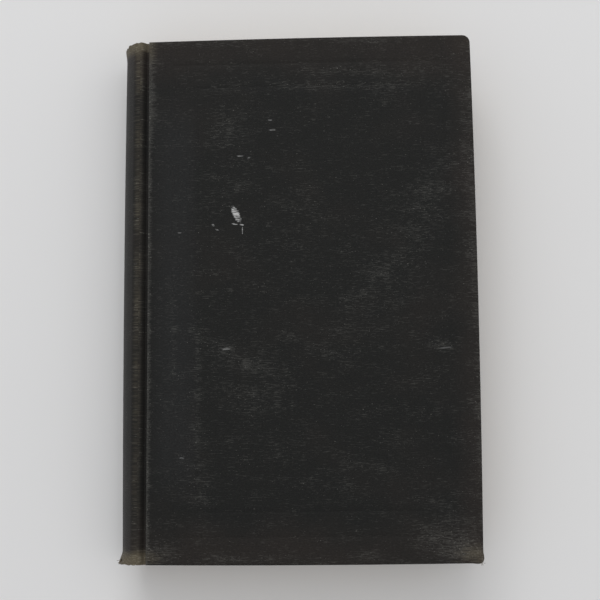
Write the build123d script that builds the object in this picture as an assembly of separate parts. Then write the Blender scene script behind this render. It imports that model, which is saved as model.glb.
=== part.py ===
"""A cloth-covered hardback book lying on its back cover, as a case binding of separate pieces.

The spine is on the -X side, the head of the book is at +Y and the front cover is on top.
The origin is the middle of the face that the book lies on.  All sizes are in millimetres.
"""
from build123d import *
from math import cos, radians, sin, sqrt, tan
import os

# Overall sizes of the closed book
COVER_HEIGHT = 240.0        # head to tail, over the cloth
COVER_WIDTH = 149.0         # board's spine edge to fore edge, over the cloth
LEAVES_THICKNESS = 27.6     # the sewn leaves, without the endpapers

# Sheet materials
BOARD_THICKNESS = 2.6       # strawboard
CLOTH_THICKNESS = 0.35      # book cloth
ENDPAPER_THICKNESS = 0.15
MULL_THICKNESS = 0.3        # open-weave cotton that ties the leaves to the boards
LINING_THICKNESS = 0.2      # kraft paper glued over the mull
INLAY_THICKNESS = 0.4       # card strip that stiffens the spine of the case

# Margins and overlaps
SQUARE = 3.5                # how far the boards stand out past the leaves
TURN_IN = 15.0              # cloth folded over onto the inside of the boards
MULL_FLANGE = 26.0          # mull glued down on each board
PASTEDOWN_MARGIN = 3.0      # cloth left showing around the pastedown
MULL_TO_TURN_IN = 0.5       # the mull stops short of the turned-in cloth
PAPER_GAP = 0.1             # free space between a pastedown and the flyleaf that faces it
LAYER_GAP = 0.05            # free space between other layers that are not glued together
HOLLOW_GAP = 0.1            # free space inside the hollow spine, below its turned-in cloth

# Rounding of the worn cover, and the hollow of the fore edge
CORNER_RADIUS = 3.2         # cover corners at the fore edge, seen from above
COVER_EDGE_RADIUS = 0.6     # long edges of the covered boards
FORE_EDGE_HOLLOW = 4.0      # depth of the concave edge of the leaves

# Section of the spine, seen from its tail
ROUND_ANGLE = 35.0          # the round runs this far each side of the middle
CREST_OFFSET = 4.1          # crest of the shoulder, out from the board's spine edge
CREST_DROP = 0.2            # crest below the outside of the board
CREST_OUTER_RADIUS = 4.1    # crest to spine
CREST_INNER_RADIUS = 2.0    # crest to groove
SPINE_FLAT = 1.7            # straight stretch between the round and the crest
GROOVE_ANGLE = 55.0         # slope from the crest into the groove
GROOVE_RADIUS = 0.8         # foot of that slope
JOINT_CLEARANCE = 0.3       # between the cloth in the groove and the covered board

# Head and tail bands
BAND_RADIUS = 0.8
BAND_HALF_ANGLE = 36.0

# Hinges
HINGE_SETBACK = 4.5         # hinge line, out from the board's spine edge

# Levels, measured outwards from the mid-plane of the leaves
half_leaves = LEAVES_THICKNESS / 2
flyleaf_level = half_leaves + ENDPAPER_THICKNESS
pastedown_level = flyleaf_level + PAPER_GAP
turn_in_level = pastedown_level + ENDPAPER_THICKNESS
board_level = turn_in_level + CLOTH_THICKNESS
cloth_level = board_level + BOARD_THICKNESS
outer_level = cloth_level + CLOTH_THICKNESS
crest_level = outer_level - CREST_DROP
hinge_level = (pastedown_level + outer_level) / 2
shoulder_depth = 2 * (CLOTH_THICKNESS + LAYER_GAP)
shoulder_level = crest_level - shoulder_depth
groove_level = flyleaf_level + ENDPAPER_THICKNESS + MULL_THICKNESS + LAYER_GAP + CLOTH_THICKNESS

# Depths, measured inwards from the outside of the spine cloth
hollow_depth = CLOTH_THICKNESS + INLAY_THICKNESS
hollow_floor_depth = hollow_depth + CLOTH_THICKNESS
lining_depth = hollow_floor_depth + HOLLOW_GAP
mull_depth = lining_depth + LINING_THICKNESS
leaves_depth = mull_depth + MULL_THICKNESS

# The round of the spine meets the straight stretch below the crest without a kink
rise_angle = 90.0 - ROUND_ANGLE
round_end_x = (-CREST_OFFSET - CREST_OUTER_RADIUS * sin(radians(rise_angle))
               - SPINE_FLAT * sin(radians(ROUND_ANGLE)))
round_end_level = (crest_level - CREST_OUTER_RADIUS * (1 - cos(radians(rise_angle)))
                   - SPINE_FLAT * cos(radians(ROUND_ANGLE)))
round_radius = round_end_level / sin(radians(ROUND_ANGLE))
round_centre_x = round_end_x + round_radius * cos(radians(ROUND_ANGLE))
spine_x = round_centre_x - round_radius

# The slope from the crest to the groove ends at the groove's level
groove_turn_drop = (CREST_INNER_RADIUS + GROOVE_RADIUS) * (1 - cos(radians(GROOVE_ANGLE)))
slope_length = (crest_level - groove_level - groove_turn_drop) / sin(radians(GROOVE_ANGLE))

# Reaches from the middle towards the head and the tail, and from the boards' spine edge
cover_half_height = COVER_HEIGHT / 2
board_half_height = cover_half_height - CLOTH_THICKNESS
leaves_half_height = cover_half_height - SQUARE
turn_in_edge = cover_half_height - TURN_IN
mull_half_height = turn_in_edge - MULL_TO_TURN_IN
leaves_reach = COVER_WIDTH - SQUARE
turn_in_reach = COVER_WIDTH - TURN_IN

# Sections have x = 0 at the boards' spine edge and y = 0 at the mid-plane of the leaves
spine_edge_x = -(COVER_WIDTH + spine_x) / 2
section_plane = Plane(origin=(spine_edge_x, 0, outer_level), x_dir=(1, 0, 0), z_dir=(0, -1, 0))
mid_plane = Plane(origin=(0, 0, outer_level), z_dir=(0, 0, 1))
everywhere = 4 * (COVER_HEIGHT + COVER_WIDTH)

WHOLE = slice(None)
ROUND = slice(0, 1)
SHOULDERS = slice(1, None)


def slab(reaches, half_height, levels):
    """A block between two reaches from the spine edge and two levels of the section."""
    centre = (spine_edge_x + sum(reaches) / 2, 0, outer_level + sum(levels) / 2)
    return Pos(*centre) * Box(reaches[1] - reaches[0], 2 * half_height, levels[1] - levels[0])


def carried(section, half_height):
    """A section carried the same distance to the head and to the tail."""
    return extrude(section_plane * section, amount=half_height, both=True)


def ends_of(piece, from_height):
    """What lies further than a distance from the middle, at head and tail."""
    return piece - Box(everywhere, 2 * from_height, everywhere)


def at_back(piece):
    """The same piece on the back cover's side."""
    return mirror(piece, about=mid_plane)


def spine_path(depth):
    """Upper half of the line at a depth below the outside of the spine cloth."""
    rounded = JernArc((spine_x + depth, 0), (0, 1), round_radius - depth, -ROUND_ANGLE)
    flat = Line(rounded @ 1, rounded @ 1 + SPINE_FLAT * (rounded % 1))
    rise = JernArc(flat @ 1, flat % 1, CREST_OUTER_RADIUS - depth, -rise_angle)
    fall = JernArc(rise @ 1, rise % 1, CREST_INNER_RADIUS - depth, -GROOVE_ANGLE)
    slope = Line(fall @ 1, fall @ 1 + slope_length * (fall % 1))
    foot = JernArc(slope @ 1, slope % 1, GROOVE_RADIUS + depth, GROOVE_ANGLE)
    floor = Line(foot @ 1, (-JOINT_CLEARANCE, (foot @ 1).Y))
    return [rounded, flat, rise, fall, slope, foot, floor]


def layer(outer_depth, inner_depth, stretch=WHOLE):
    """Section of a sheet that follows the spine cloth, on both halves of the spine."""
    outer = spine_path(outer_depth)[stretch]
    inner = spine_path(inner_depth)[stretch]
    closing = [Line(outer[0] @ 0, inner[0] @ 0), Line(outer[-1] @ 1, inner[-1] @ 1)]
    half = make_face([*outer, *inner, *closing])
    return half + mirror(half, about=Plane.XZ)


def shoulder_points():
    """Tip, slope and root of the leaves' backed shoulder."""
    leaves_radius = round_radius - leaves_depth
    tip = (round_centre_x - sqrt(leaves_radius ** 2 - shoulder_level ** 2), shoulder_level)
    slope_start = spine_path(shoulder_depth)[4] @ 0
    root_x = slope_start.X + (slope_start.Y - half_leaves) / tan(radians(GROOVE_ANGLE))
    return [tip, (slope_start.X, slope_start.Y), (root_x, half_leaves)]


def leaves_section():
    """The sewn leaves: round spine, backed shoulders and concave fore edge."""
    upper = [*shoulder_points(), (leaves_reach, half_leaves)]
    lower = [(x, -y) for x, y in upper]
    spine = ThreePointArc(lower[0], (spine_x + leaves_depth, 0), upper[0])
    fore_edge = ThreePointArc(upper[-1], (leaves_reach - FORE_EDGE_HOLLOW, 0), lower[-1])
    return make_face([spine, Polyline(*upper), fore_edge, Polyline(*lower)])


def mull_end_reach():
    """Where the mull on the leaves meets the foot of the shoulder."""
    return shoulder_points()[-1][0] + MULL_THICKNESS * tan(radians(GROOVE_ANGLE / 2))


def spine_mull():
    """Open-weave cotton over the spine of the leaves and both shoulders."""
    around = offset(leaves_section(), amount=MULL_THICKNESS) - leaves_section()
    beyond = Pos(mull_end_reach() + everywhere / 2, 0) * Rectangle(everywhere, everywhere)
    return carried(around - beyond, mull_half_height)


def spine_cloth():
    """Spine of the case from groove to groove, folded in at head and tail."""
    outside = carried(layer(0, CLOTH_THICKNESS), cover_half_height)
    under_shoulders = carried(layer(CLOTH_THICKNESS, 2 * CLOTH_THICKNESS, SHOULDERS), cover_half_height)
    under_inlay = carried(layer(hollow_depth, hollow_floor_depth, ROUND), cover_half_height)
    fold = carried(layer(CLOTH_THICKNESS, hollow_depth, ROUND), cover_half_height)
    turned_in = ends_of(under_shoulders, turn_in_edge) + ends_of(under_inlay, turn_in_edge)
    return outside + turned_in + ends_of(fold, board_half_height)


def end_band():
    """Rolled band at the head of the leaves, bent along the round of the spine."""
    bend_radius = round_radius - hollow_floor_depth - LAYER_GAP - BAND_RADIUS
    bead = Pos(-bend_radius, leaves_half_height + LAYER_GAP + BAND_RADIUS) * Circle(BAND_RADIUS)
    ring = revolve(bead, axis=Axis.Y, revolution_arc=2 * BAND_HALF_ANGLE)
    levelled = Rot(0, -BAND_HALF_ANGLE, 0) * ring
    return Pos(spine_edge_x + round_centre_x, 0, outer_level) * levelled


def covered_board(inset, levels):
    """A board, or the outside of its cloth, with blunted corners at the fore edge."""
    board = slab((inset, COVER_WIDTH - inset), cover_half_height - inset, levels)
    fore_corners = board.edges().filter_by(Axis.Z).group_by(Axis.X)[-1]
    board = fillet(fore_corners, CORNER_RADIUS - inset)
    long_edges = board.faces().sort_by(Axis.Z)[-1].edges() + board.faces().sort_by(Axis.Z)[0].edges()
    return fillet(long_edges, COVER_EDGE_RADIUS - inset)


def front_board():
    """Strawboard of the front cover."""
    return covered_board(CLOTH_THICKNESS, (board_level, cloth_level))


def front_cover_cloth():
    """Cloth over the front board, folded in at head, tail and fore edge."""
    outside = covered_board(0, (turn_in_level, outer_level))
    window = slab((-SQUARE, turn_in_reach), turn_in_edge, (turn_in_level, board_level))
    return outside - front_board() - window


def front_mull_flange():
    """The mull glued down on the inside of the front board."""
    levels = (board_level - MULL_THICKNESS, board_level)
    return slab((CLOTH_THICKNESS, MULL_FLANGE), mull_half_height, levels)


def front_pastedown():
    """Endpaper glued over the board, the mull and the turned-in cloth, following each step."""
    reaches = (CLOTH_THICKNESS, COVER_WIDTH - PASTEDOWN_MARGIN)
    sheet = slab(reaches, cover_half_height - PASTEDOWN_MARGIN, (pastedown_level, board_level))
    flange_end = MULL_FLANGE + ENDPAPER_THICKNESS
    over_mull = slab((-SQUARE, flange_end), mull_half_height,
                     (pastedown_level, board_level - MULL_THICKNESS - ENDPAPER_THICKNESS))
    over_board = slab((flange_end, turn_in_reach - ENDPAPER_THICKNESS), turn_in_edge - ENDPAPER_THICKNESS,
                      (pastedown_level, board_level - ENDPAPER_THICKNESS))
    return sheet - front_cover_cloth() - front_mull_flange() - over_mull - over_board


def front_flyleaf():
    """Free endpaper that lies on the leaves."""
    reaches = (mull_end_reach() + LAYER_GAP, leaves_reach)
    return slab(reaches, leaves_half_height, (half_leaves, flyleaf_level))


def pieces():
    """Every piece of the book by name."""
    book = {
        "text_block": carried(leaves_section(), leaves_half_height),
        "spine_mull": spine_mull(),
        "spine_lining": carried(layer(lining_depth, mull_depth, ROUND), leaves_half_height),
        "spine_inlay": carried(layer(CLOTH_THICKNESS, hollow_depth, ROUND), board_half_height),
        "spine_cloth": spine_cloth(),
        "head_band": end_band(),
        "tail_band": mirror(end_band(), about=Plane.XZ),
    }
    for make_front in (front_board, front_cover_cloth, front_mull_flange, front_pastedown, front_flyleaf):
        front = make_front()
        book[make_front.__name__] = front
        book[make_front.__name__.replace("front", "back")] = at_back(front)
    return book


os.makedirs("parts", exist_ok=True)
for name, piece in pieces().items():
    export_step(piece, f"parts/{name}.step")

print(f"closed book {COVER_WIDTH - spine_x:.2f} x {COVER_HEIGHT:.2f} x {2 * outer_level:.2f} mm")
print(f"hinge lines at x = {spine_edge_x - HINGE_SETBACK:.3f} mm, "
      f"z = {outer_level - hinge_level:.3f} and {outer_level + hinge_level:.3f} mm")
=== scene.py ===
"""Old hardback book in worn black cloth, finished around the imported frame.

Laid out as an add-on and run as a script: each operator makes one piece or group of like pieces.
Lengths are in metres; the helper mm() turns millimetres into metres.
"""

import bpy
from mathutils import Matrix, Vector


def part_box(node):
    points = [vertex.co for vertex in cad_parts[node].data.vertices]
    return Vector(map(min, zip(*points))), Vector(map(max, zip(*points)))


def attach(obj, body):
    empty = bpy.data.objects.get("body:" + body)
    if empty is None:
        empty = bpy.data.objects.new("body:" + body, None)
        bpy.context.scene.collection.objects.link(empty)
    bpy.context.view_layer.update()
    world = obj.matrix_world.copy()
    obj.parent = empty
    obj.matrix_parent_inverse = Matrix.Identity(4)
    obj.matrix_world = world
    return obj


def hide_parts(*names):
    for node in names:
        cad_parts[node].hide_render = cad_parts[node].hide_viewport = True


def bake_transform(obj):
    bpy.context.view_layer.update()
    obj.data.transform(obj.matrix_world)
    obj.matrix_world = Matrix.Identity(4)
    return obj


bl_info = {
    "name": "Worn Cloth Hardback",
    "version": (1, 0, 0),
    "blender": (4, 5, 0),
    "location": "View3D > Sidebar > Book",
    "description": "Builds the cloth, leaves, endpapers and bands of an old case-bound book",
    "category": "Object",
}

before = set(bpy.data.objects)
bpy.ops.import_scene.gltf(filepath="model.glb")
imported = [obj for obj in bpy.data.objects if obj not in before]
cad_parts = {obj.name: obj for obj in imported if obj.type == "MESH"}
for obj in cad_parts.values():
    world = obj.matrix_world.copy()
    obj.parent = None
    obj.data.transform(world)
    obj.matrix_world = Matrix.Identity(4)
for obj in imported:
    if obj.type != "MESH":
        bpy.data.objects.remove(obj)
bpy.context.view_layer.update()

import math
import random

import bmesh
import bpy
from mathutils import Vector, noise


def mm(value):
    """Millimetres as metres."""
    return value * 0.001


# Places that come from the frame
JOINT_X, _, COVER_INSIDE_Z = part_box("front_cover_cloth")[0]
FORE_X, HEAD_Y, TOP_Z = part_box("front_cover_cloth")[1]
SPINE_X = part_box("spine_cloth")[0][0]
CREST_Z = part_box("spine_cloth")[1][2]
MID_Z = TOP_Z / 2
LEAVES_FLAT_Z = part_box("front_flyleaf")[0][2]
FLYLEAF_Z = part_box("front_flyleaf")[1][2]
FLYLEAF_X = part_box("front_flyleaf")[0][0]
LEAVES_FORE_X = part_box("front_flyleaf")[1][0]
LEAVES_HEAD_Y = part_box("front_flyleaf")[1][1]
LEAVES_SPINE_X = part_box("text_block")[0][0]
SHOULDER_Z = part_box("text_block")[1][2]
BOARD_INSIDE_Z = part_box("front_board")[0][2]
PASTEDOWN_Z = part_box("front_pastedown")[0][2]
PASTEDOWN_LOW_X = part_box("front_pastedown")[0][0]
PASTEDOWN_FORE_X, PASTEDOWN_HEAD_Y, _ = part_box("front_pastedown")[1]
FLANGE_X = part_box("front_mull_flange")[1][0]

# (across from the spine edge, up from the middle, half widths, turn, strength) in millimetres and degrees
RUBBED_PLACES = [
    (35, 77, 7, 10, 20, 0.5), (40, 100, 12, 8, 0, 0.2), (36, -24, 6, 3, 0, 0.7), (47, -31, 11, 6, 0, 0.6),
    (48, -46, 14, 5, 0, 0.55), (63, -18, 6, 2, 0, 0.6), (135, -25, 8, 2, 0, 0.6), (128, 44, 9, 22, -30, 0.42),
    (108, 10, 10, 26, -32, 0.42), (88, -22, 12, 12, -30, 0.3), (100, 104, 34, 2.5, 0, 0.5),
    (100, 97, 36, 1.5, 0, 0.5), (120, 98, 14, 8, 0, 0.3), (70, 40, 10, 8, 0, 0.25), (70, 25, 14, 18, 0, 0.2),
    (38, 50, 14, 8, 0, 0.3), (24, -78, 4, 16, 0, 0.45),
    (12, -12, 1.5, 26, 0, 0.4), (23, -45, 1.5, 36, 0, 0.5),
    (89, -84, 3, 8, 0, 0.5), (104, -78, 10, 2, 0, 0.4), (16, -73, 3, 1.5, 0, 0.7), (130, -108, 10, 6, 0, 0.7),
    (143, -114, 14, 6, 0, 0.9), (134, -100, 14, 10, 0, 0.4),
    (6, -115, 7, 4, 0, 0.9), (37, -118, 8, 1.6, 0, 0.7),
    (58, -118, 9, 1.8, 0, 0.6), (98, -117, 8, 2, 0, 0.5),
    (29, 118, 10, 1.2, 0, 0.6), (101, 118, 14, 1.5, 0, 0.7),
    (149, 60, 5, 40, 0, 0.6), (149, 10, 4, 30, 0, 0.6), (149, -60, 4, 50, 0, 0.4), (1.5, 95, 2.2, 22, 0, 0.7),
    (60, -70, 40, 14, 0, 0.12), (110, -60, 30, 30, 0, 0.08), (75, 0, 60, 60, 0, 0.1),
]

# (across, up, half width, half height, turn, brightness) of the pale scuffs in the cloth's surface
SCUFFS = [
    (40.6, 37.4, 1.5, 3.9, 25, 1.0), (39.9, 32.9, 1.6, 0.3, -10, 0.8), (43.2, 32.5, 1.1, 0.35, -15, 0.8),
    (43.5, 29.8, 0.22, 1.8, 0, 0.6), (30.0, 32.6, 0.8, 0.5, -25, 0.6), (31.8, 30.4, 0.9, 0.3, -20, 0.5),
    (14.6, 29.2, 1.0, 0.25, 0, 0.25), (56.4, 81.4, 1.0, 0.4, 0, 0.35), (57.3, 76.8, 1.5, 0.4, 0, 0.4),
    (42.5, 64.7, 1.6, 0.35, 0, 0.3), (46.6, 63.7, 0.8, 0.4, 0, 0.3), (36.0, -24.3, 2.0, 0.6, 0, 0.25),
    (135, -25, 3.4, 0.3, 5, 0.18), (16.0, -73.2, 1.2, 0.4, -8, 0.25),
]


class BookSizes(bpy.types.PropertyGroup):
    """Sizes of what is added to the frame."""
    cloth_thickness: bpy.props.FloatProperty(
        name="Cloth thickness", description="Thickness of the book cloth", default=mm(0.35), unit="LENGTH")
    cell: bpy.props.FloatProperty(
        name="Cell", description="Spacing of the cover's mesh", default=mm(2.4), unit="LENGTH")
    corner_radius: bpy.props.FloatProperty(
        name="Corner radius", description="Blunted cover corners", default=mm(3.4), unit="LENGTH")
    edge_radius: bpy.props.FloatProperty(
        name="Edge radius", description="Rounded board edges", default=mm(0.6), unit="LENGTH")
    turn_in: bpy.props.FloatProperty(
        name="Turn-in", description="Cloth folded inside the boards", default=mm(15), unit="LENGTH")
    outer_rule: bpy.props.FloatProperty(
        name="Outer rule", description="Blind rule, in from the board's edge", default=mm(12), unit="LENGTH")
    inner_rule: bpy.props.FloatProperty(
        name="Inner rule", description="Second blind rule", default=mm(22.8), unit="LENGTH")
    rule_depth: bpy.props.FloatProperty(
        name="Rule depth", description="Depth of the pressed rules", default=mm(0.13), unit="LENGTH")
    gatherings: bpy.props.IntProperty(
        name="Gatherings", description="Sewn gatherings in the leaves", default=26)
    weave_pitch: bpy.props.FloatProperty(
        name="Weave pitch", description="Thread spacing of the cloth", default=mm(0.5), unit="LENGTH")


class BookColours(bpy.types.PropertyGroup):
    """Colours of the finishes."""
    cloth: bpy.props.FloatVectorProperty(
        name="Cloth", description="Dyed cloth", subtype="COLOR", default=(0.0096, 0.0098, 0.0090))
    cloth_brown: bpy.props.FloatVectorProperty(
        name="Faded cloth", description="Cloth browned by light", subtype="COLOR",
        default=(0.024, 0.0185, 0.0155))
    cloth_cool: bpy.props.FloatVectorProperty(
        name="Cool cloth", description="Greyed cloth near the joint", subtype="COLOR",
        default=(0.0165, 0.0170, 0.0172))
    # Also the colour of the painted highlight along the board's spine edge.
    rubbed: bpy.props.FloatVectorProperty(
        name="Rubbed thread", description="Thread tops worn pale", subtype="COLOR",
        default=(0.20, 0.196, 0.178))
    bare: bpy.props.FloatVectorProperty(
        name="Bare thread", description="Undyed thread laid bare", subtype="COLOR",
        default=(0.098, 0.082, 0.054))
    scuff: bpy.props.FloatVectorProperty(
        name="Scuff", description="Pale scuffed surface", subtype="COLOR", default=(0.52, 0.52, 0.51))
    leaf: bpy.props.FloatVectorProperty(
        name="Leaf edges", description="Toned edges of the leaves", subtype="COLOR",
        default=(0.52, 0.41, 0.26))
    paper: bpy.props.FloatVectorProperty(
        name="Endpaper", description="Toned endpaper", subtype="COLOR", default=(0.60, 0.51, 0.37))


class Finish:
    """Builds a node material from short calls."""

    def __init__(self, name):
        self.material = bpy.data.materials.new(name)
        self.material.use_nodes = True
        self.nodes = self.material.node_tree.nodes
        self.links = self.material.node_tree.links
        self.shader = self.nodes["Principled BSDF"]

    def put(self, socket, value):
        """Links a socket, or sets a plain value."""
        if isinstance(value, bpy.types.NodeSocket):
            self.links.new(value, socket)
        elif value is not None:
            socket.default_value = value

    def node(self, kind, *values, **settings):
        """A node with its inputs set in order."""
        made = self.nodes.new(kind)
        for key, setting in settings.items():
            setattr(made, key, setting)
        for socket, value in zip(made.inputs, values):
            self.put(socket, value)
        return made

    def attribute(self, name, output="Fac"):
        return self.node("ShaderNodeAttribute", attribute_name=name).outputs[output]

    def coordinates(self):
        return self.node("ShaderNodeTexCoord").outputs["Object"]

    def math(self, operation, a, b=None, c=None, clamp=False):
        return self.node("ShaderNodeMath", a, b, c, operation=operation, use_clamp=clamp).outputs[0]

    def scaled(self, vector, factors):
        return self.node("ShaderNodeVectorMath", vector, factors, operation="MULTIPLY").outputs[0]

    def noise(self, vector, scale=1.0, detail=2.0, roughness=0.5):
        made = self.node("ShaderNodeTexNoise")
        self.put(made.inputs["Vector"], vector)
        self.put(made.inputs["Scale"], scale)
        self.put(made.inputs["Detail"], detail)
        self.put(made.inputs["Roughness"], roughness)
        return made.outputs["Fac"]

    def step(self, value, low, high):
        """0 below low, 1 above high, smooth between."""
        return self.node("ShaderNodeMapRange", value, low, high, 0.0, 1.0,
                         interpolation_type="SMOOTHSTEP").outputs[0]

    def mix(self, factor, a, b):
        made = self.node("ShaderNodeMix", data_type="RGBA")
        self.put(made.inputs["Factor"], factor)
        self.put(made.inputs[6], colour4(a))
        self.put(made.inputs[7], colour4(b))
        return made.outputs[2]

    def bump(self, height, strength, distance):
        made = self.node("ShaderNodeBump")
        made.inputs["Strength"].default_value = strength
        made.inputs["Distance"].default_value = distance
        self.put(made.inputs["Height"], height)
        self.put(self.shader.inputs["Normal"], made.outputs["Normal"])

    def finish(self, colour, roughness, specular=0.3):
        self.put(self.shader.inputs["Base Color"], colour4(colour))
        self.put(self.shader.inputs["Roughness"], roughness)
        self.shader.inputs["Specular IOR Level"].default_value = specular
        return self.material


def colour4(value):
    """A plain colour with its alpha; a socket is left as it is."""
    if isinstance(value, bpy.types.NodeSocket):
        return value
    return (*value, 1.0) if len(value) == 3 else tuple(value)


def book_cloth(colours, sizes):
    """Dyed plain weave with thread tops rubbed pale, brown fading, bare thread and scuffs, and a painted
    highlight along the board's spine edge.
    """
    f = Finish("book_cloth")
    rest = f.scaled(f.attribute("rest", "Vector"), (1000, 1000, 1000))
    weave = f.scaled(f.attribute("weave", "Vector"), (1000, 1000, 1000))
    rub_and_highlight, tint, bare = f.attribute("rub_and_highlight"), f.attribute("tint"), f.attribute("bare")
    patches = f.noise(f.scaled(weave, (0.06, 0.16, 0.1)), detail=4.0, roughness=0.6)
    dashes = f.noise(f.scaled(weave, (0.28, 2.1, 1.0)), detail=2.0, roughness=0.65)
    grain = f.noise(f.scaled(weave, (1.1, 2.0, 1.0)), detail=1.0)
    specks = f.noise(f.scaled(weave, (1.0, 2.0, 1.0)), detail=3.0, roughness=0.7)
    blotches = f.noise(f.scaled(weave, (0.025, 0.03, 0.03)), detail=3.0)

    amount = f.math("ADD", rub_and_highlight, f.math("MULTIPLY", f.math("SUBTRACT", patches, 0.5), 1.6))
    amount = f.math("MAXIMUM", amount, 0.0)
    low = f.math("MULTIPLY_ADD", amount, -0.24, 0.60)
    worn = f.step(dashes, low, f.math("ADD", low, 0.20))
    spotted = f.step(specks, f.math("MULTIPLY_ADD", amount, -0.16, 0.675), 0.73)
    worn = f.math("MAXIMUM", f.math("MULTIPLY", worn, 0.20), spotted)

    brown = f.math("ADD", f.math("MAXIMUM", tint, 0.0), f.math("MULTIPLY_ADD", blotches, 1.2, -0.58))
    base = f.mix(f.math("MULTIPLY", brown, 0.8, clamp=True), colours.cloth, colours.cloth_brown)
    base = f.mix(f.math("MULTIPLY", tint, -1.0, clamp=True), base, colours.cloth_cool)
    shade = f.math("MULTIPLY_ADD", grain, 1.3, 0.35)
    grey = f.node("ShaderNodeCombineXYZ", shade, shade, shade).outputs[0]
    base = f.node("ShaderNodeVectorMath", base, grey, operation="MULTIPLY").outputs[0]
    # The rubbed colour goes where threads are worn, and also on the painted highlight along the board's spine
    # edge.
    base = f.mix(f.math("MULTIPLY", worn, 0.75), base, colours.rubbed)
    bared = f.math("MULTIPLY", bare, f.step(f.math("ADD", dashes, f.math("MULTIPLY", bare, 0.3)), 0.42, 0.66))
    base = f.mix(bared, base, f.mix(f.step(specks, 0.5, 0.72), colours.bare, (0.24, 0.22, 0.17)))

    ragged = f.math("MULTIPLY_ADD", f.noise(f.scaled(rest, (0.9, 1.6, 1.0)), detail=3.0), 1.1, -0.55)
    level = f.node("ShaderNodeSeparateXYZ", rest).outputs[2]
    on_front = f.step(level, TOP_Z * 1000 - 1.0, TOP_Z * 1000 - 0.5)
    for x, y, half_width, half_height, turn, strength in SCUFFS:
        place = f.node("ShaderNodeMapping", rest, vector_type="TEXTURE")
        place.inputs["Location"].default_value = (JOINT_X * 1000 + x, y, TOP_Z * 1000)
        place.inputs["Rotation"].default_value = (0, 0, math.radians(turn))
        place.inputs["Scale"].default_value = (half_width, half_height, 5)
        distance = f.node("ShaderNodeVectorMath", place.outputs[0], operation="LENGTH").outputs["Value"]
        inside = f.step(f.math("ADD", distance, ragged), 1.15, 0.6)
        inside = f.math("MULTIPLY", f.math("MULTIPLY", inside, on_front), strength)
        inside = f.math("MULTIPLY", inside, f.step(dashes, 0.28, 0.62))
        base = f.mix(inside, base, colours.scuff)

    turns = math.tau / (sizes.weave_pitch * 1000)
    across = f.math("SINE", f.math("MULTIPLY", f.node("ShaderNodeSeparateXYZ", weave).outputs[0], turns))
    along = f.math("SINE", f.math("MULTIPLY", f.node("ShaderNodeSeparateXYZ", weave).outputs[1], turns))
    height = f.math("MULTIPLY_ADD", f.math("MULTIPLY", across, along), 0.5, f.math("MULTIPLY", dashes, 1.4))
    f.bump(height, 0.55, mm(0.09))
    roughness = f.math("MULTIPLY_ADD", worn, 0.15, 0.62)
    f.shader.inputs["Sheen Weight"].default_value = 0.04
    f.shader.inputs["Sheen Roughness"].default_value = 0.5
    return f.finish(base, roughness, 0.14)


def leaf_edges(colours, sizes):
    """Cut edges of old leaves: fine lines along each leaf, toned and a little soiled."""
    f = Finish("leaf_edges")
    run = f.attribute("leaf", "Vector")
    lines = f.noise(f.scaled(run, (8, 8, 9000)), detail=3.0, roughness=0.7)
    bands = f.noise(f.scaled(run, (12, 12, 900)), detail=2.0)
    stains = f.noise(f.scaled(run, (60, 60, 90)), detail=3.0)
    base = f.mix(f.step(lines, 0.3, 0.7), (0.30, 0.22, 0.13), colours.leaf)
    base = f.mix(f.step(bands, 0.52, 0.75), base, (0.62, 0.52, 0.36))
    base = f.mix(f.math("MULTIPLY", f.step(stains, 0.5, 0.8), 0.5), base, (0.27, 0.19, 0.11))
    f.bump(f.math("ADD", lines, bands), 0.5, mm(0.12))
    return f.finish(base, 0.85, 0.2)


def toned_paper(colours, sizes):
    """Endpaper, browned towards its edges and foxed."""
    f = Finish("endpaper")
    at = f.attribute("rest", "Vector")
    parts = f.node("ShaderNodeSeparateXYZ", at)
    fibres = f.noise(f.scaled(at, (900, 900, 900)), detail=3.0)
    cloudy = f.noise(f.scaled(at, (18, 18, 18)), detail=3.0)
    foxing = f.noise(f.scaled(at, (140, 140, 140)), detail=2.0)
    from_head = f.math("SUBTRACT", LEAVES_HEAD_Y, f.math("ABSOLUTE", parts.outputs[1]))
    from_fore = f.math("SUBTRACT", LEAVES_FORE_X, parts.outputs[0])
    inward = f.math("MINIMUM", from_head, from_fore)
    browned = f.step(f.math("MULTIPLY_ADD", cloudy, mm(14), inward), mm(24), mm(5))
    base = f.mix(f.math("MULTIPLY", browned, 0.6), colours.paper, (0.42, 0.30, 0.16))
    base = f.mix(f.math("MULTIPLY", f.step(foxing, 0.68, 0.76), 0.5), base, (0.33, 0.19, 0.09))
    base = f.mix(f.math("MULTIPLY", fibres, 0.12), base, (0.3, 0.24, 0.16))
    f.bump(fibres, 0.25, mm(0.05))
    return f.finish(base, 0.88, 0.2)


def striped_cotton(colours, sizes):
    """Two-colour stripes across the rolled head and tail bands."""
    f = Finish("band_cotton")
    at = f.coordinates()
    height = f.node("ShaderNodeSeparateXYZ", at).outputs[2]
    stripes = f.math("SINE", f.math("MULTIPLY", height, math.tau / mm(2.2)))
    soil = f.noise(f.scaled(at, (500, 500, 500)), detail=3.0)
    base = f.mix(f.step(stripes, -0.2, 0.2), (0.42, 0.34, 0.22), (0.16, 0.045, 0.03))
    base = f.mix(f.math("MULTIPLY", soil, 0.5), base, (0.12, 0.09, 0.06))
    threads = f.math("SINE", f.math("MULTIPLY", height, math.tau / mm(0.35)))
    f.bump(threads, 0.5, mm(0.08))
    return f.finish(base, 0.8, 0.2)


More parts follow.
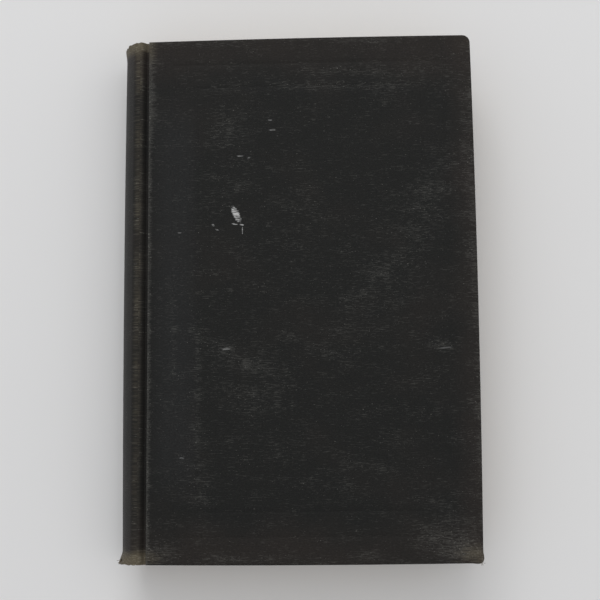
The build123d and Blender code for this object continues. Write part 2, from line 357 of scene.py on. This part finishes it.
def fibrous(name, colour, dark, scale, pitch=None):
    """Board, card, kraft paper or open cotton: fibres, and threads where a pitch is given."""
    f = Finish(name)
    at = f.coordinates()
    fibres = f.noise(f.scaled(at, (scale, scale * 0.4, scale)), detail=4.0, roughness=0.65)
    height = fibres
    base = f.mix(f.step(fibres, 0.35, 0.65), dark, colour)
    if pitch:
        parts = f.node("ShaderNodeSeparateXYZ", at)
        across = f.math("SINE", f.math("MULTIPLY", parts.outputs[0], math.tau / pitch))
        along = f.math("SINE", f.math("MULTIPLY", parts.outputs[1], math.tau / pitch))
        height = f.math("MAXIMUM", across, along)
        base = f.mix(f.step(height, 0.1, 0.8), dark, base)
    f.bump(height, 0.4, mm(0.08))
    return f.finish(base, 0.9, 0.2)


def new_piece(name, bm, material, body, sharp=40):
    """Makes the object, gives it its finish and lets it ride on its body."""
    mesh = bpy.data.meshes.new(name)
    bm.to_mesh(mesh)
    bm.free()
    mesh.polygons.foreach_set("use_smooth", [True] * len(mesh.polygons))
    mesh.set_sharp_from_angle(angle=math.radians(sharp))
    piece = bpy.data.objects.new(name, mesh)
    bpy.context.scene.collection.objects.link(piece)
    mesh.materials.append(material)
    if body:
        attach(piece, body)
    return piece


def set_vectors(mesh, name, values):
    """Stores a vector for every vertex."""
    layer = mesh.attributes.new(name, "FLOAT_VECTOR", "POINT")
    layer.data.foreach_set("vector", [number for value in values for number in value])


def set_floats(mesh, name, values):
    """Stores a number for every vertex."""
    layer = mesh.attributes.new(name, "FLOAT", "POINT")
    layer.data.foreach_set("value", values)


def smoothstep(low, high, value):
    t = max(0.0, min(1.0, (value - low) / (high - low)))
    return t * t * (3 - 2 * t)


def place_strength(x, y, places):
    """How rubbed the front cover is at a place, in millimetres from the joint edge and the middle."""
    total = 0.0
    for px, py, half_width, half_height, turn, strength in places:
        c, s = math.cos(math.radians(turn)), math.sin(math.radians(turn))
        dx, dy = x - px, y - py
        along, up = (dx * c + dy * s) / half_width, (-dx * s + dy * c) / half_height
        total = max(total, strength * math.exp(-(along * along + up * up) * 0.7))
    return total


def wear(mesh, front):
    """Rub, fading and bare thread for each vertex, from its place on the book; the rub also holds a painted
    highlight along the top of the board's spine edge.
    """
    rub_and_highlight, tint, bare = [], [], []
    for vertex in mesh.vertices:
        x, y, z = vertex.co
        across, up = (x - JOINT_X) * 1000, y * 1000
        to_fore, to_end = (FORE_X - x) * 1000, (HEAD_Y - abs(y)) * 1000
        outward = abs(z - MID_Z) / MID_Z
        r = 0.10 + 0.55 * smoothstep(2.5, 0, to_fore) + 0.35 * smoothstep(1.6, 0, to_end)
        # Painted highlight, partly real wear: a pale line along the rounded top of the board's spine edge,
        # standing in for the light that edge catches.
        r += 1.3 * smoothstep(0.9, 0.2, abs(across - 0.2)) * smoothstep(0.9, 1.0, outward)
        b = 0.5 * smoothstep(9, 0, math.hypot(to_fore, to_end)) * (0.25 if y > 0 else 1.0)
        t = 0.55 * smoothstep(26, 4, to_end) + 0.5 * smoothstep(14, 2, to_fore) - 0.6 * smoothstep(
            13, 3, abs(across - 13)) * smoothstep(20, 50, to_end)
        if across < 0:
            crest = smoothstep(3.0, 0.5, abs(across + 4.6)) * outward
            blotch = noise.noise(Vector((across * 0.1, up * 0.09, z * 60)))
            r = 0.10 + 0.2 * crest + 0.4 * max(0.0, blotch)
            b = 0.22 * crest * (1 + blotch) + 0.95 * smoothstep(8 + 5 * blotch, 2, to_end)
            t = 0.25 + 0.6 * smoothstep(30, 5, to_end)
        if front and across > -0.5:
            r = max(r, 0.1 + place_strength(across, up, RUBBED_PLACES))
            b = max(b, 0.9 * place_strength(across, up, [(146, -116, 6, 3, 0, 0.6), (2, -117, 4, 2, 0, 0.5),
                                                         (1, 117, 1.5, 6, 0, 0.6)]))
        elif across > 0:
            r += 0.25 * max(0.0, noise.noise(Vector((across * 0.05, up * 0.05, 3.0))))
        rub_and_highlight.append(r)
        tint.append(t)
        bare.append(min(1.0, b))
    set_floats(mesh, "rub_and_highlight", rub_and_highlight)
    set_floats(mesh, "tint", tint)
    set_floats(mesh, "bare", bare)


def finish_cloth(piece, front, across_of):
    """Rest places, cloth coordinates and wear, and the thickness of the cloth."""
    mesh = piece.data
    rest = [tuple(vertex.co) for vertex in mesh.vertices]
    set_vectors(mesh, "rest", rest)
    set_vectors(mesh, "weave", [across_of(*place) for place in rest])
    wear(mesh, front)
    thick = piece.modifiers.new("Cloth thickness", "SOLIDIFY")
    thick.thickness = bpy.context.scene.book_sizes.cloth_thickness
    thick.offset = -1


def walk(start, heading, moves):
    """Points and inward normals along a section; a move is a length, or (radius, turn, steps)."""
    place, angle = Vector(start), heading
    points = [(place.copy(), angle)]
    for move in moves:
        if isinstance(move, tuple):
            radius, turn, steps = move
            for _ in range(steps):
                part = math.radians(turn) / steps
                chord = 2 * radius * math.sin(abs(part) / 2)
                angle += part / 2
                place = place + chord * Vector((math.cos(angle), math.sin(angle)))
                angle += part / 2
                points.append((place.copy(), angle))
        else:
            place = place + move * Vector((math.cos(angle), math.sin(angle)))
            points.append((place.copy(), angle))
    return [(point, Vector((math.sin(turned), -math.cos(turned)))) for point, turned in points]


# Section of the spine and of the groove beside the board
ROUND_ANGLE = 35
SPINE_FLAT = mm(1.7)
CREST_OUTER = mm(4.1)
CREST_INNER = mm(2)
CREST_X = JOINT_X - mm(4.1)
GROOVE_ANGLE = 55
GROOVE_FOOT = mm(0.8)
GROOVE_DEPTH = mm(2.5)
EDGE_TURN = mm(0.35)


def spine_section():
    """Outside of the spine from its middle up to the crest."""
    rise = math.radians(90 - ROUND_ANGLE)
    level = CREST_Z - MID_Z - CREST_OUTER * (1 - math.cos(rise)) - SPINE_FLAT * math.sin(rise)
    radius = level / math.sin(math.radians(ROUND_ANGLE))
    return walk((SPINE_X, 0), math.radians(90),
                [(radius, -ROUND_ANGLE, 16), SPINE_FLAT, (CREST_OUTER, ROUND_ANGLE - 90, 8)])


def joint_section():
    """Cloth from the crest down into the groove and across to the board's spine edge."""
    lean = math.radians(GROOVE_ANGLE)
    slope = (GROOVE_DEPTH - (CREST_INNER + GROOVE_FOOT) * (1 - math.cos(lean))) / math.sin(lean)
    points = walk((CREST_X, CREST_Z - MID_Z), 0.0,
                  [(CREST_INNER, -GROOVE_ANGLE, 6), slope, (GROOVE_FOOT, GROOVE_ANGLE, 4)])
    end = points[-1][0]
    points += walk(end, 0.0, [JOINT_X - EDGE_TURN - end.x, (EDGE_TURN, 90, 4)])[1:]
    return points


def bowed(bm):
    """Lets the covers' long edges bow outwards a little, as worn boards do."""
    for vertex in bm.verts:
        x, y, _ = vertex.co
        up = max(0.0, 1 - (y / HEAD_Y) ** 2)
        along = (x - SPINE_X) / (FORE_X - SPINE_X)
        at_fore = mm(0.9) * up * smoothstep(0.6, 1.0, along)
        at_spine = mm(0.6) * up * smoothstep(0.06, 0.0, along)
        near_end = smoothstep(0.75, 1.0, abs(y) / HEAD_Y)
        vertex.co.x += at_fore - at_spine
        vertex.co.y += mm(0.5) * math.copysign(4 * along * (1 - along), y) * near_end


def covered_board(sizes):
    """Cloth skin of the front board: rounded box, pressed rules, open inside, joint strip with its fold."""
    bm = bmesh.new()
    bmesh.ops.create_cube(bm, size=1)
    size = Vector((FORE_X - JOINT_X, 2 * HEAD_Y, TOP_Z - COVER_INSIDE_Z))
    bmesh.ops.scale(bm, vec=size, verts=bm.verts)
    bmesh.ops.translate(bm, verts=bm.verts, vec=((JOINT_X + FORE_X) / 2, 0, (TOP_Z + COVER_INSIDE_Z) / 2))
    corners = [e for e in bm.edges if all(v.co.x > FORE_X - mm(1) for v in e.verts)
               and abs(e.verts[0].co.z - e.verts[1].co.z) > mm(1)]
    bmesh.ops.bevel(bm, geom=corners, offset=sizes.corner_radius, segments=6, profile=0.5,
                    affect="EDGES", material=-1)
    rims = [e for e in bm.edges if abs(e.verts[0].co.z - e.verts[1].co.z) < mm(0.1)
            and not (all(v.co.x < JOINT_X + mm(0.1) for v in e.verts) and e.verts[0].co.z < MID_Z + mm(15))]
    bmesh.ops.bevel(bm, geom=rims, offset=sizes.edge_radius, segments=3, profile=0.5,
                    affect="EDGES", material=-1)
    for x in cover_stations(JOINT_X, FORE_X, sizes):
        cut(bm, (x, 0, 0), (1, 0, 0))
    for y in cover_stations(-HEAD_Y, HEAD_Y, sizes):
        cut(bm, (0, y, 0), (0, 1, 0))
    strip = joint_section()
    strip_top = MID_Z + strip[-1][0].y
    cut(bm, (0, 0, strip_top), (0, 0, 1))
    opened = []
    for face in bm.faces:
        centre, normal = face.calc_center_median(), face.normal
        within = abs(centre.y) < HEAD_Y - sizes.turn_in and centre.x < FORE_X - sizes.turn_in
        inside = normal.z < -0.9 and within
        at_joint = normal.x < -0.9 and centre.z < strip_top
        if inside or at_joint:
            opened.append(face)
    bmesh.ops.delete(bm, geom=opened, context="FACES")
    press_rules(bm, sizes)
    edges = [e for e in bm.edges if e.is_boundary
             and all(abs(v.co.x - JOINT_X) < mm(0.01) for v in e.verts)
             and all(abs(v.co.z - strip_top) < mm(0.01) for v in e.verts)]
    for point, normal in reversed(strip[:-1]):
        grown = bmesh.ops.extrude_edge_only(bm, edges=edges)["geom"]
        for vertex in (v for v in grown if isinstance(v, bmesh.types.BMVert)):
            vertex.co.x, vertex.co.z = point.x, MID_Z + point.y
        edges = [e for e in grown if isinstance(e, bmesh.types.BMEdge)]
    fold_ends(bm, strip, sizes)
    bowed(bm)
    bmesh.ops.recalc_face_normals(bm, faces=bm.faces)
    top = max(bm.faces, key=lambda face: face.calc_center_median().z)
    if top.normal.z < 0:
        bmesh.ops.reverse_faces(bm, faces=bm.faces)
    return bm


def knocked_corner(bm):
    """Pushes the tail fore corner out towards a point, as a dropped book's corner goes."""
    for vertex in bm.verts:
        reach = Vector((FORE_X - vertex.co.x, vertex.co.y + HEAD_Y)).length
        push = smoothstep(mm(5.5), mm(1.0), reach)
        vertex.co.x += mm(0.75) * push
        vertex.co.y -= mm(0.55) * push


def cut(bm, place, normal):
    """Divides the mesh along a plane."""
    bmesh.ops.bisect_plane(bm, geom=[*bm.verts, *bm.edges, *bm.faces], dist=mm(0.001),
                           plane_co=place, plane_no=normal)


def cover_stations(low, high, sizes):
    """Even cells, with closer lines at the edges and at both rules."""
    count = round((high - low) / sizes.cell)
    places = [low + (high - low) * step / count for step in range(1, count)]
    close = [sizes.turn_in]
    for rule in (sizes.outer_rule, sizes.inner_rule):
        places = [p for p in places if min(abs(p - low - rule), abs(high - p - rule)) > mm(1.2)]
        close += [rule + mm(offset) for offset in (-0.8, -0.35, 0, 0.35, 0.8)]
    return sorted(places + [low + c for c in close] + [high - c for c in close])


def press_rules(bm, sizes):
    """Presses both plain rules into the outside of the board."""
    centre_x, half_x = (JOINT_X + FORE_X) / 2, (FORE_X - JOINT_X) / 2
    for vertex in bm.verts:
        if vertex.co.z < TOP_Z - mm(0.05):
            continue
        inward = min(half_x - abs(vertex.co.x - centre_x), HEAD_Y - abs(vertex.co.y))
        for rule in (sizes.outer_rule, sizes.inner_rule):
            vertex.co.z -= sizes.rule_depth * smoothstep(mm(0.8), mm(0.2), abs(inward - rule))


def fold_ends(bm, strip, sizes):
    """Folds the joint cloth in under itself at head and tail."""
    for side in (-1, 1):
        edges = [e for e in bm.edges if e.is_boundary
                 and all(abs(v.co.y - side * HEAD_Y) < mm(0.01) and v.co.x < JOINT_X - mm(0.001)
                         for v in e.verts)]
        for inward, depth in ((0.15, 0.45), (0.15, 0.25), (-1, 0)):
            grown = bmesh.ops.extrude_edge_only(bm, edges=edges)["geom"]
            for vertex in (v for v in grown if isinstance(v, bmesh.types.BMVert)):
                here = Vector((vertex.co.x, vertex.co.z - MID_Z))
                nearest = min(strip[:-1], key=lambda place: (place[0] - here).length)
                offset = nearest[1] * mm(depth)
                vertex.co.x += offset.x
                vertex.co.z += offset.y
                vertex.co.y += -side * (sizes.turn_in if inward < 0 else 0.0)
            edges = [e for e in grown if isinstance(e, bmesh.types.BMEdge)]


def cover_weave(x, y, z):
    """Cloth coordinates of a cover: flat on the board and carried on down its edges."""
    down = max(0.0, (TOP_Z - z) if z > MID_Z else z)
    across = x + (down if x > FORE_X - mm(1) else 0.0) - (down if x < JOINT_X else 0.0)
    along = y + (math.copysign(down, y) if abs(y) > HEAD_Y - mm(0.7) else 0.0)
    return across, along, 0.0


def spine_weave(x, y, z):
    """Cloth coordinates of the spine: its height stands for the way round it."""
    return z, y, 0.0


class BOOK_OT_covers(bpy.types.Operator):
    """Cloth of the front and back covers, with the joint cloth"""
    bl_idname = "book.covers"
    bl_label = "Cover cloth"

    def execute(self, context):
        sizes = context.scene.book_sizes
        # Declared about 8 mm wider than the 175 mm worked out from the section: see report.md
        for side, body in (("front", "front_cover"), ("back", "back_cover")):
            bm = covered_board(sizes)
            if side == "back":
                bmesh.ops.scale(bm, vec=(1, 1, -1), verts=bm.verts)
                bmesh.ops.translate(bm, vec=(0, 0, TOP_Z), verts=bm.verts)
                bmesh.ops.reverse_faces(bm, faces=bm.faces)
            else:
                knocked_corner(bm)
            piece = new_piece(f"{side}_cloth", bm, MATERIALS["cloth"], None)
            finish_cloth(piece, side == "front", cover_weave)
            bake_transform(piece)
            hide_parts(f"{side}_cover_cloth")
        return {"FINISHED"}


class BOOK_OT_spine_cloth(bpy.types.Operator):
    """Spine of the case between the two crests, folded in at head and tail and frayed"""
    bl_idname = "book.spine_cloth"
    bl_label = "Spine cloth"

    def execute(self, context):
        half = spine_section()
        section = [(Vector((p.x, -p.y)), Vector((n.x, -n.y))) for p, n in reversed(half[1:])] + half
        rows = [-HEAD_Y + mm(gap) for gap in (0.5, 1, 1.5, 2, 2.6, 3.3, 4.2, 5.5, 7)]
        middle = round(2 * (HEAD_Y - mm(9)) / mm(2.4))
        levels = [-HEAD_Y, *rows]
        levels += [-(HEAD_Y - mm(9)) + 2 * (HEAD_Y - mm(9)) * step / middle for step in range(middle + 1)]
        levels += [-y for y in reversed(rows)] + [HEAD_Y]
        folds = [(0.5, 0.0), (0.9, 0.25), (1.0, 2.0), (1.0, 8.0), (1.0, 15.0)]
        grid = [(y, 0.0) for y in levels]
        tail = [(-HEAD_Y + mm(run), depth) for depth, run in reversed(folds)]
        head = [(HEAD_Y - mm(run), depth) for depth, run in folds]
        grid = tail + grid + head
        bm = bmesh.new()
        bmesh.ops.create_grid(bm, x_segments=len(section) - 1, y_segments=len(grid) - 1, size=0.5)
        bm.verts.ensure_lookup_table()
        for vertex in bm.verts:
            across = round((vertex.co.x + 0.5) * (len(section) - 1))
            along = round((vertex.co.y + 0.5) * (len(grid) - 1))
            (point, normal), (y, depth) = section[across], grid[along]
            way = abs(point.y) / (CREST_Z - MID_Z)
            inward = mm(1.1 - 0.35 * smoothstep(0.75, 1.0, way)) * depth
            place = point + normal * inward
            vertex.co = (place.x, y, MID_Z + place.y)
            fray(vertex, point, depth)
        bowed(bm)
        hole = [f for f in bm.faces if (f.calc_center_median() - Vector(
            (SPINE_X + mm(0.9), -HEAD_Y + mm(1.9), MID_Z + mm(11.0)))).length < mm(1.05)]
        bmesh.ops.delete(bm, geom=hole, context="FACES")
        bmesh.ops.recalc_face_normals(bm, faces=bm.faces)
        outer = min(bm.faces, key=lambda face: face.calc_center_median().x)
        if outer.normal.x > 0:
            bmesh.ops.reverse_faces(bm, faces=bm.faces)
        piece = new_piece("spine_cloth_worn", bm, MATERIALS["cloth"], "book_block")
        finish_cloth(piece, True, spine_weave)
        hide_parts("spine_cloth")
        # Declared wider than the 41.5 mm that the way round the section comes to: see report.md
        return {"FINISHED"}


def fray(vertex, point, depth):
    """Ragged, bulged cloth at the ends of the spine; the tail is worse than the head."""
    y = vertex.co.y
    near = smoothstep(mm(6), 0, HEAD_Y - abs(y)) if depth < 1 else 0.0
    if not near:
        return
    ragged = noise.noise(Vector((point.x * 600, point.y * 420, 2.0 if y > 0 else 7.0)))
    side = smoothstep(0.9, 0.3, abs(point.y - mm(9)) / mm(9))
    if y < 0:
        vertex.co.x -= mm(1.7) * near * side
        vertex.co.z += mm(0.6) * near * side
        vertex.co.y += mm(0.7) * ragged * near
    else:
        vertex.co.x -= mm(0.6) * near * side * (1 + ragged)
        vertex.co.y += mm(0.6) * (ragged - 0.4) * near


class BOOK_OT_leaves(bpy.types.Operator):
    """Sewn gatherings with backed shoulders, each standing a little out or in"""
    bl_idname = "book.leaves"
    bl_label = "Leaves"

    def execute(self, context):
        sizes = context.scene.book_sizes
        chance = random.Random(8)
        half_flat, half_spine = LEAVES_FLAT_Z - MID_Z, SHOULDER_Z - MID_Z
        tip_x, root_x = CREST_X, JOINT_X - mm(1.6)
        sag = tip_x - LEAVES_SPINE_X
        spine_radius = (half_spine ** 2 + sag ** 2) / (2 * sag)
        hollow = mm(4)
        fore_radius = (half_flat ** 2 + hollow ** 2) / (2 * hollow)
        bm = bmesh.new()
        leaf = bm.verts.layers.float_vector.new("leaf")
        count, columns = sizes.gatherings, 14
        for index in range(count):
            shift_fore, shift_head, shift_tail = (chance.uniform(-0.22, 0.0) for _ in range(3))
            before = set(bm.verts)
            bmesh.ops.create_grid(bm, x_segments=columns, y_segments=3, size=0.5)
            sheet = [v for v in bm.verts if v not in before]
            for vertex in sheet:
                share, rung = vertex.co.x + 0.5, vertex.co.y + 0.5
                rung_level = (index + rung) / count * 2 - 1
                flat_z, spine_z = rung_level * half_flat, rung_level * half_spine
                spine_x = LEAVES_SPINE_X + spine_radius - math.sqrt(spine_radius ** 2 - spine_z ** 2)
                spine_x += mm(0.35) * (2 * rung - 1) ** 2
                fore_x = LEAVES_FORE_X - hollow + fore_radius - math.sqrt(fore_radius ** 2 - flat_z ** 2)
                fore_x += mm(shift_fore)
                x = spine_x + (fore_x - spine_x) * share ** 3
                flare_end = tip_x if abs(rung_level) > 0.6 else spine_x
                flare = smoothstep(root_x, flare_end, x)
                z = flat_z + (spine_z - flat_z) * flare
                pinch = mm(0.03) * (1 - 2 * rung)
                vertex.co = (x, -LEAVES_HEAD_Y - mm(shift_tail), MID_Z + z + pinch)
                vertex[leaf] = (x, vertex.co.y, flat_z)
            faces = [f for f in bm.faces if all(v in sheet for v in f.verts)]
            grown = bmesh.ops.extrude_face_region(bm, geom=faces)["geom"]
            for vertex in (v for v in grown if isinstance(v, bmesh.types.BMVert)):
                vertex.co.y = LEAVES_HEAD_Y + mm(shift_head)
                vertex[leaf] = (vertex.co.x, vertex.co.y, vertex[leaf].z)
        bmesh.ops.recalc_face_normals(bm, faces=bm.faces)
        piece = new_piece("leaves", bm, MATERIALS["leaves"], "book_block", sharp=30)
        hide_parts("text_block")
        return {"FINISHED"}


def pastedown_level(x, y, sizes):
    """Height of the pastedown's face: it steps over the mull and the turned-in cloth."""
    on_board = BOARD_INSIDE_Z - mm(0.15)
    edge = max(abs(y) - (HEAD_Y - sizes.turn_in), x - (FORE_X - sizes.turn_in))
    over_cloth = smoothstep(-mm(8.5), -mm(4.2), edge)
    over_mull = smoothstep(mm(8.5), mm(4.2), x - FLANGE_X)
    drop = max(over_cloth * (on_board - PASTEDOWN_Z), over_mull * mm(0.3))
    return on_board - drop


class BOOK_OT_endpapers(bpy.types.Operator):
    """Each endpaper: pastedown, fold and flyleaf in one sheet"""
    bl_idname = "book.endpapers"
    bl_label = "Endpapers"

    def execute(self, context):
        sizes = context.scene.book_sizes
        for side, body in (("front", "front_cover"), ("back", "back_cover")):
            bm = self.folded_sheet(sizes)
            if side == "back":
                bmesh.ops.scale(bm, vec=(1, 1, -1), verts=bm.verts)
                bmesh.ops.translate(bm, vec=(0, 0, TOP_Z), verts=bm.verts)
                bmesh.ops.reverse_faces(bm, faces=bm.faces)
            piece = new_piece(f"{side}_endpaper", bm, MATERIALS["endpaper"], None)
            set_vectors(piece.data, "rest", [tuple(v.co) for v in piece.data.vertices])
            low, high = FLYLEAF_Z + mm(0.012), PASTEDOWN_Z - mm(0.012)
            if side == "back":
                low, high = TOP_Z - low, TOP_Z - high
            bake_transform(piece)
            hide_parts(f"{side}_pastedown", f"{side}_flyleaf")
        return {"FINISHED"}

    def folded_sheet(self, sizes):
        """A grid whose left half is the flyleaf and whose right half is the pastedown above it."""
        columns, fold, rows = 46, 5, 56
        bm = bmesh.new()
        bmesh.ops.create_grid(bm, x_segments=2 * columns + 2 * fold, y_segments=rows, size=0.5)
        total = 2 * columns + 2 * fold
        for vertex in bm.verts:
            step = round((vertex.co.x + 0.5) * total) - columns - fold
            share = vertex.co.y * 2
            if step < -fold:
                x = FLYLEAF_X + mm(1.5) + (LEAVES_FORE_X - FLYLEAF_X - mm(1.5)) * (-step - fold) / columns
                y = share * LEAVES_HEAD_Y
                z = FLYLEAF_Z
            elif step > fold:
                x = PASTEDOWN_LOW_X + (PASTEDOWN_FORE_X - PASTEDOWN_LOW_X) * (step - fold) / columns
                y = share * PASTEDOWN_HEAD_Y
                z = pastedown_level(x, y, sizes)
            else:
                way = (step + fold) / (2 * fold)
                x = FLYLEAF_X + mm(0.1) + mm(1.4) * (2 * way - 1) ** 2
                y = share * (LEAVES_HEAD_Y + (PASTEDOWN_HEAD_Y - LEAVES_HEAD_Y) * way)
                z = FLYLEAF_Z + (PASTEDOWN_Z - FLYLEAF_Z) * way
            vertex.co = (x, y, z)
        bmesh.ops.recalc_face_normals(bm, faces=bm.faces)
        lowest = min(bm.faces, key=lambda face: face.calc_center_median().z)
        if lowest.normal.z < 0:
            bmesh.ops.reverse_faces(bm, faces=bm.faces)
        return bm


class BOOK_OT_threads(bpy.types.Operator):
    """Loose yarn ends at the frayed tail of the spine and the worn corner"""
    bl_idname = "book.threads"
    bl_label = "Loose threads"

    def execute(self, context):
        chance = random.Random(3)
        groups = {
            "spine_threads": ("book_block", Vector((SPINE_X + mm(0.6), -HEAD_Y + mm(1.5), MID_Z + mm(10.5))),
                              Vector((-0.6, -0.8, 0.1)), 7),
            "corner_threads": ("front_cover", Vector((FORE_X - mm(1.3), -HEAD_Y + mm(1.2), TOP_Z - mm(1.4))),
                               Vector((0.75, -0.6, 0.1)), 5),
        }
        for name, (body, root, lean, count) in groups.items():
            bm = bmesh.new()
            for _ in range(count):
                start = root + Vector([mm(chance.uniform(-0.5, 0.5)) for _ in range(3)])
                heading = (lean + Vector([chance.uniform(-0.6, 0.6) for _ in range(3)])).normalized()
                self.yarn(bm, start, heading, mm(chance.uniform(1.4, 2.4)), chance)
            bmesh.ops.recalc_face_normals(bm, faces=bm.faces)
            new_piece(name, bm, MATERIALS["thread"], body)
        return {"FINISHED"}

    def yarn(self, bm, start, heading, length, chance):
        """One yarn end: a capped ring extruded along a bending line; each step leaves an inner face."""
        made = bmesh.ops.create_circle(bm, cap_ends=True, radius=mm(0.09), segments=6)["verts"]
        turn = Vector((0, 0, 1)).rotation_difference(heading).to_matrix()
        bmesh.ops.rotate(bm, verts=made, cent=(0, 0, 0), matrix=turn)
        bmesh.ops.translate(bm, verts=made, vec=start)
        face = next(f for f in bm.faces if all(v in made for v in f.verts))
        for _ in range(5):
            heading = (heading + Vector([chance.uniform(-0.3, 0.3) for _ in range(3)])).normalized()
            grown = bmesh.ops.extrude_face_region(bm, geom=[face])["geom"]
            tips = [v for v in grown if isinstance(v, bmesh.types.BMVert)]
            bmesh.ops.translate(bm, verts=tips, vec=heading * length / 5)
            face = next(f for f in grown if isinstance(f, bmesh.types.BMFace))


class BOOK_OT_inner_pieces(bpy.types.Operator):
    """Finishes of the boards, bands, cotton and card that keep their shape from the frame"""
    bl_idname = "book.inner_pieces"
    bl_label = "Inner pieces"

    def execute(self, context):
        finishes = {
            "front_board": "board", "back_board": "board", "spine_inlay": "card", "spine_lining": "kraft",
            "spine_mull": "mull", "front_mull_flange": "mull", "back_mull_flange": "mull",
            "head_band": "band", "tail_band": "band",
        }
        for node, finish in finishes.items():
            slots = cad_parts[node].material_slots
            for slot in slots:
                slot.material = MATERIALS[finish]
        return {"FINISHED"}


class BOOK_OT_stage(bpy.types.Operator):
    """Pale floor, soft light from the upper left and the camera above the cover"""
    bl_idname = "book.stage"
    bl_label = "Stage"

    def execute(self, context):
        scene = context.scene
        bm = bmesh.new()
        bmesh.ops.create_grid(bm, x_segments=1, y_segments=1, size=3)
        mesh = bpy.data.meshes.new("floor")
        bm.to_mesh(mesh)
        bm.free()
        floor = bpy.data.objects.new("floor", mesh)
        scene.collection.objects.link(floor)
        f = Finish("pale_floor")
        mesh.materials.append(f.finish((0.77, 0.765, 0.76), 0.8, 0.1))

        world = bpy.data.worlds.new("soft_room")
        world.use_nodes = True
        world.node_tree.nodes["Background"].inputs["Color"].default_value = (0.97, 0.98, 1.0, 1)
        world.node_tree.nodes["Background"].inputs["Strength"].default_value = 0.62
        scene.world = world
        lamps = (("window", (-0.25, 1.5, 1.3), 1.4, 15.0), ("fill", (0.9, 0.1, 1.8), 1.6, 4.0))
        for name, place, size, power in lamps:
            light = bpy.data.lights.new(name, "AREA")
            light.size = size
            light.energy = power
            lamp = bpy.data.objects.new(name, light)
            lamp.location = place
            lamp.rotation_euler = (-Vector(place)).to_track_quat("-Z", "Y").to_euler()
            scene.collection.objects.link(lamp)

        lens = bpy.data.cameras.new("camera")
        lens.sensor_width = 36
        lens.lens = 78
        lens.clip_start = 0.01
        camera = bpy.data.objects.new("camera", lens)
        camera.location = (mm(28.2), mm(-80.8), mm(617.3))
        camera.rotation_euler = [math.radians(angle) for angle in (7.62, 2.69, -0.484)]
        scene.collection.objects.link(camera)
        scene.camera = camera
        scene.view_settings.view_transform = "Standard"
        return {"FINISHED"}


class BOOK_PT_panel(bpy.types.Panel):
    """Every step of the book, in order"""
    bl_label = "Worn cloth hardback"
    bl_idname = "BOOK_PT_panel"
    bl_space_type = "VIEW_3D"
    bl_region_type = "UI"
    bl_category = "Book"

    def draw(self, context):
        for step in STEPS:
            self.layout.operator(step.bl_idname)


MATERIALS = {}
STEPS = (BOOK_OT_covers, BOOK_OT_spine_cloth, BOOK_OT_leaves, BOOK_OT_endpapers, BOOK_OT_threads,
         BOOK_OT_inner_pieces, BOOK_OT_stage)
CLASSES = (BookSizes, BookColours, *STEPS, BOOK_PT_panel)


def make_materials(scene):
    """One finish for each kind of stuff."""
    colours, sizes = scene.book_colours, scene.book_sizes
    MATERIALS["cloth"] = book_cloth(colours, sizes)
    MATERIALS["leaves"] = leaf_edges(colours, sizes)
    MATERIALS["endpaper"] = toned_paper(colours, sizes)
    MATERIALS["band"] = striped_cotton(colours, sizes)
    MATERIALS["board"] = fibrous("strawboard", (0.40, 0.31, 0.18), (0.24, 0.18, 0.10), 700)
    MATERIALS["card"] = fibrous("spine_card", (0.34, 0.28, 0.20), (0.20, 0.16, 0.11), 700)
    MATERIALS["kraft"] = fibrous("kraft_lining", (0.36, 0.25, 0.14), (0.22, 0.14, 0.08), 900)
    MATERIALS["mull"] = fibrous("mull_cotton", (0.60, 0.54, 0.42), (0.26, 0.22, 0.15), 600, mm(1.2))
    MATERIALS["thread"] = fibrous("yarn", (0.20, 0.16, 0.10), (0.07, 0.055, 0.04), 4000)


def register():
    for cls in CLASSES:
        bpy.utils.register_class(cls)
    bpy.types.Scene.book_sizes = bpy.props.PointerProperty(type=BookSizes)
    bpy.types.Scene.book_colours = bpy.props.PointerProperty(type=BookColours)


def unregister():
    del bpy.types.Scene.book_sizes
    del bpy.types.Scene.book_colours
    for cls in reversed(CLASSES):
        bpy.utils.unregister_class(cls)


def main():
    register()
    make_materials(bpy.context.scene)
    bpy.ops.book.covers()
    bpy.ops.book.spine_cloth()
    bpy.ops.book.leaves()
    bpy.ops.book.endpapers()
    bpy.ops.book.threads()
    bpy.ops.book.inner_pieces()
    bpy.ops.book.stage()


if __name__ == "__main__":
    main()
